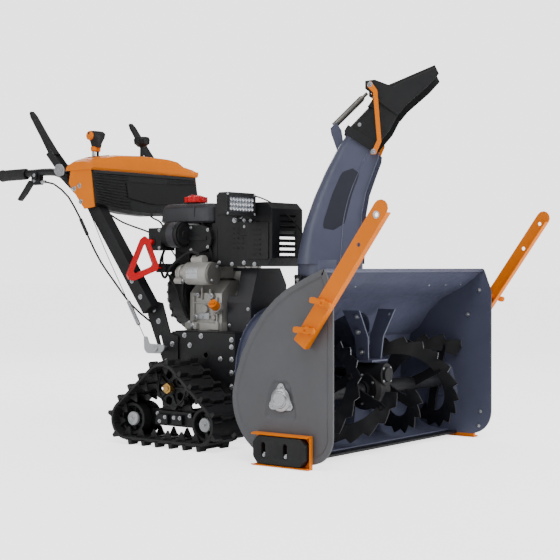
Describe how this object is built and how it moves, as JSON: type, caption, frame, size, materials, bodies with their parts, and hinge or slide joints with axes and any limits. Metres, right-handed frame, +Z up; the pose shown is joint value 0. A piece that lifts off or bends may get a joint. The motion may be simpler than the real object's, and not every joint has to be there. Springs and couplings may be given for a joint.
{
  "type": "two-stage snowblower",
  "caption": "Tracked two-stage snowblower with a serrated auger, turning chute with a folding deflector, engine, dash and paddle-lever handlebars.",
  "frame": {"origin": "on the ground under the middle of the machine's box", "axes": "+Z up, -Y to the front where the auger is, +Y to the operator, +X to the machine's left"},
  "size_m": [0.924, 1.7239, 1.143],
  "materials": {
    "blue_grey_paint": "blue-grey metallic paint",
    "plate_grey_paint": "matt grey powder coat",
    "orange_paint": "orange powder coat",
    "orange_plastic": "orange moulded plastic",
    "black_steel": "black powder coat",
    "black_plastic": "black moulded plastic",
    "grey_plastic": "dark grey moulded plastic",
    "rubber": "black rubber",
    "cast_alloy": "sand-cast alloy",
    "cast_iron": "black painted casting",
    "steel": "turned steel",
    "red_plastic": "red moulded plastic"
  },
  "bodies": {
    "machine": {"auger_housing": "blue_grey_paint", "side_plate_left": "plate_grey_paint", "side_plate_right": "plate_grey_paint", "impeller_drum": "blue_grey_paint", "scraper_bar": "black_steel", "gearbox_support": "blue_grey_paint", "auger_gearbox": "cast_iron", "drive_belt": "rubber", "chassis_frame": "black_steel", "track_belt_left": "rubber", "track_belt_right": "rubber", "track_frame": "black_steel", "belt_cover": "grey_plastic", "crankcase": "cast_alloy", "cylinder_head": "cast_alloy", "recoil_housing": "black_plastic", "starter_motor": "cast_alloy", "fuel_tank": "grey_plastic", "muffler_guard": "black_steel", "switch_box": "black_plastic", "carburettor_cover": "black_plastic", "column_left": "black_steel", "column_right": "black_steel", "dash_body": "black_plastic", "dash_cover": "orange_plastic", "handlebar": "black_steel", "grip_left": "rubber", "grip_right": "rubber", "steering_cables": "rubber"},
    "auger": {"auger_shaft": "steel", "auger_left": "black_steel", "auger_right": "black_steel"},
    "impeller_rotor": {"impeller": "black_steel"},
    "engine_shaft": {"engine_pulley": "steel"},
    "drive_train": {"drive_axle": "steel", "drive_sprocket_left": "black_plastic", "drive_sprocket_right": "black_plastic"},
    "front_idler_left": {"idler_front_left": "black_plastic"},
    "front_idler_right": {"idler_front_right": "black_plastic"},
    "rear_idler_left": {"idler_rear_left": "black_plastic"},
    "rear_idler_right": {"idler_rear_right": "black_plastic"},
    "chute": {"chute_body": "blue_grey_paint"},
    "lower_deflector": {"deflector_lower": "black_plastic"},
    "upper_deflector": {"deflector_upper": "black_plastic"},
    "deflector_arms": {"deflector_link": "orange_paint"},
    "lamp": {"work_light": "black_plastic"},
    "fuel_filler": {"fuel_cap": "red_plastic"},
    "oil_filler": {"oil_cap": "orange_plastic"},
    "stop_switch": {"stop_button": "red_plastic"},
    "starter_pull": {"recoil_handle": "red_plastic"},
    "left_clutch": {"clutch_lever_left": "black_plastic"},
    "right_clutch": {"clutch_lever_right": "black_plastic"},
    "left_trigger": {"steering_trigger_left": "black_plastic"},
    "right_trigger": {"steering_trigger_right": "black_plastic"},
    "speed_control": {"speed_lever": "black_plastic"},
    "chute_control": {"chute_joystick": "black_plastic"},
    "left_skid": {"skid_shoe_left": "orange_paint"},
    "right_skid": {"skid_shoe_right": "orange_paint"},
    "left_cutter": {"drift_cutter_left": "orange_paint"},
    "right_cutter": {"drift_cutter_right": "orange_paint"}
  },
  "joints": [
    {"name": "impeller_spin", "type": "hinge", "parent": "machine", "child": "impeller_rotor", "pos_m": [0, -0.25, 0.226], "axis": [0, 1, 0], "continuous": true},
    {"name": "auger_spin", "type": "hinge", "parent": "machine", "child": "auger", "pos_m": [0, -0.497, 0.181], "axis": [1, 0, 0], "continuous": true},
    {"name": "engine_spin", "type": "hinge", "parent": "machine", "child": "engine_shaft", "pos_m": [0, -0.1, 0.43], "axis": [0, 1, 0], "continuous": true},
    {"name": "drive_spin", "type": "hinge", "parent": "machine", "child": "drive_train", "pos_m": [0, 0.01, 0.177], "axis": [1, 0, 0], "continuous": true},
    {"name": "front_idler_left_spin", "type": "hinge", "parent": "machine", "child": "front_idler_left", "pos_m": [0.285, -0.134, 0.076], "axis": [1, 0, 0], "continuous": true},
    {"name": "front_idler_right_spin", "type": "hinge", "parent": "machine", "child": "front_idler_right", "pos_m": [-0.285, -0.134, 0.076], "axis": [1, 0, 0], "continuous": true},
    {"name": "rear_idler_left_spin", "type": "hinge", "parent": "machine", "child": "rear_idler_left", "pos_m": [0.285, 0.158, 0.076], "axis": [1, 0, 0], "continuous": true},
    {"name": "rear_idler_right_spin", "type": "hinge", "parent": "machine", "child": "rear_idler_right", "pos_m": [-0.285, 0.158, 0.076], "axis": [1, 0, 0], "continuous": true},
    {"name": "chute_turn", "type": "hinge", "parent": "machine", "child": "chute", "pos_m": [0.015, -0.346, 0.506], "axis": [0, 0, 1], "range_deg": [-130, 70]},
    {"name": "joystick_tilt", "type": "hinge", "parent": "machine", "child": "chute_control", "pos_m": [-0.167, 0.48, 0.882], "axis": [0, 1, 0], "range_deg": [-20, 20]},
    {"name": "deflector_tilt", "type": "hinge", "parent": "chute", "child": "lower_deflector", "pos_m": [0.046, -0.39969, 0.955], "axis": [-0.866, -0.5, 0], "range_deg": [-3, 10]},
    {"name": "upper_deflector_tilt", "type": "hinge", "parent": "lower_deflector", "child": "upper_deflector", "pos_m": [0.1, -0.49322, 1.02], "axis": [-0.866, -0.5, 0], "range_deg": [-5, 16]},
    {"name": "deflector_arm_tilt", "type": "hinge", "parent": "chute", "child": "deflector_arms", "pos_m": [0.084, -0.46551, 0.886], "axis": [-0.866, -0.5, 0], "range_deg": [-4, 12]},
    {"name": "lamp_tilt", "type": "hinge", "parent": "machine", "child": "lamp", "pos_m": [-0.187, -0.137, 0.7], "axis": [1, 0, 0], "range_deg": [-12, 15]},
    {"name": "fuel_cap_turn", "type": "hinge", "parent": "machine", "child": "fuel_filler", "pos_m": [-0.065, 0.127, 0.759], "axis": [0, 0, 1], "range_deg": [0, 90]},
    {"name": "oil_cap_turn", "type": "hinge", "parent": "machine", "child": "oil_filler", "pos_m": [-0.125, -0.0083, 0.4186], "axis": [-0.8748, -0.0958, 0.4749], "range_deg": [0, 270]},
    {"name": "stop_button_press", "type": "slide", "parent": "machine", "child": "stop_switch", "axis": [1, 0, 0], "range_m": [0, 0.003], "stiffness_N_per_m": 400, "springref_m": -0.002},
    {"name": "starter_pull_out", "type": "slide", "parent": "machine", "child": "starter_pull", "axis": [-1, 0, 0], "range_m": [0, 0.06], "stiffness_N_per_m": 60, "springref_m": -0.1},
    {"name": "left_clutch_press", "type": "hinge", "parent": "machine", "child": "left_clutch", "pos_m": [0.24, 0.552, 0.862], "axis": [-1, 0, 0], "range_deg": [0, 33], "stiffness_Nm_per_rad": 3, "springref_deg": -20.05},
    {"name": "left_trigger_squeeze", "type": "hinge", "parent": "machine", "child": "left_trigger", "pos_m": [0.24, 0.715, 0.828], "axis": [1, 0, 0], "range_deg": [0, 26], "stiffness_Nm_per_rad": 1.5, "springref_deg": -17.19},
    {"name": "right_clutch_press", "type": "hinge", "parent": "machine", "child": "right_clutch", "pos_m": [-0.24, 0.552, 0.862], "axis": [-1, 0, 0], "range_deg": [0, 33], "stiffness_Nm_per_rad": 3, "springref_deg": -20.05},
    {"name": "right_trigger_squeeze", "type": "hinge", "parent": "machine", "child": "right_trigger", "pos_m": [-0.24, 0.715, 0.828], "axis": [1, 0, 0], "range_deg": [0, 26], "stiffness_Nm_per_rad": 1.5, "springref_deg": -17.19},
    {"name": "speed_select", "type": "hinge", "parent": "machine", "child": "speed_control", "pos_m": [0.055, 0.48, 0.88], "axis": [1, 0, 0], "range_deg": [-16, 16]},
    {"name": "left_skid_adjust", "type": "slide", "parent": "machine", "child": "left_skid", "axis": [0, 0, 1], "range_m": [-0.015, 0.02]},
    {"name": "left_cutter_fold", "type": "hinge", "parent": "machine", "child": "left_cutter", "pos_m": [0.45, -0.609, 0.3746], "axis": [-1, 0, 0], "range_deg": [0, 100]},
    {"name": "right_skid_adjust", "type": "slide", "parent": "machine", "child": "right_skid", "axis": [0, 0, 1], "range_m": [-0.015, 0.02]},
    {"name": "right_cutter_fold", "type": "hinge", "parent": "machine", "child": "right_cutter", "pos_m": [-0.45, -0.609, 0.3746], "axis": [-1, 0, 0], "range_deg": [0, 100]}
  ],
  "couplings": [
    {"joint": "auger_spin", "follows": "impeller_spin", "ratio": 0.083333},
    {"joint": "engine_spin", "follows": "impeller_spin", "ratio": 2.3684},
    {"joint": "front_idler_left_spin", "follows": "drive_spin", "ratio": 1.2623},
    {"joint": "front_idler_right_spin", "follows": "drive_spin", "ratio": 1.2623},
    {"joint": "rear_idler_left_spin", "follows": "drive_spin", "ratio": 1.2623},
    {"joint": "rear_idler_right_spin", "follows": "drive_spin", "ratio": 1.2623},
    {"joint": "joystick_tilt", "follows": "chute_turn", "ratio": 0.15},
    {"joint": "upper_deflector_tilt", "follows": "deflector_tilt", "ratio": 1.55},
    {"joint": "deflector_arm_tilt", "follows": "deflector_tilt", "ratio": 1.15}
  ]
}
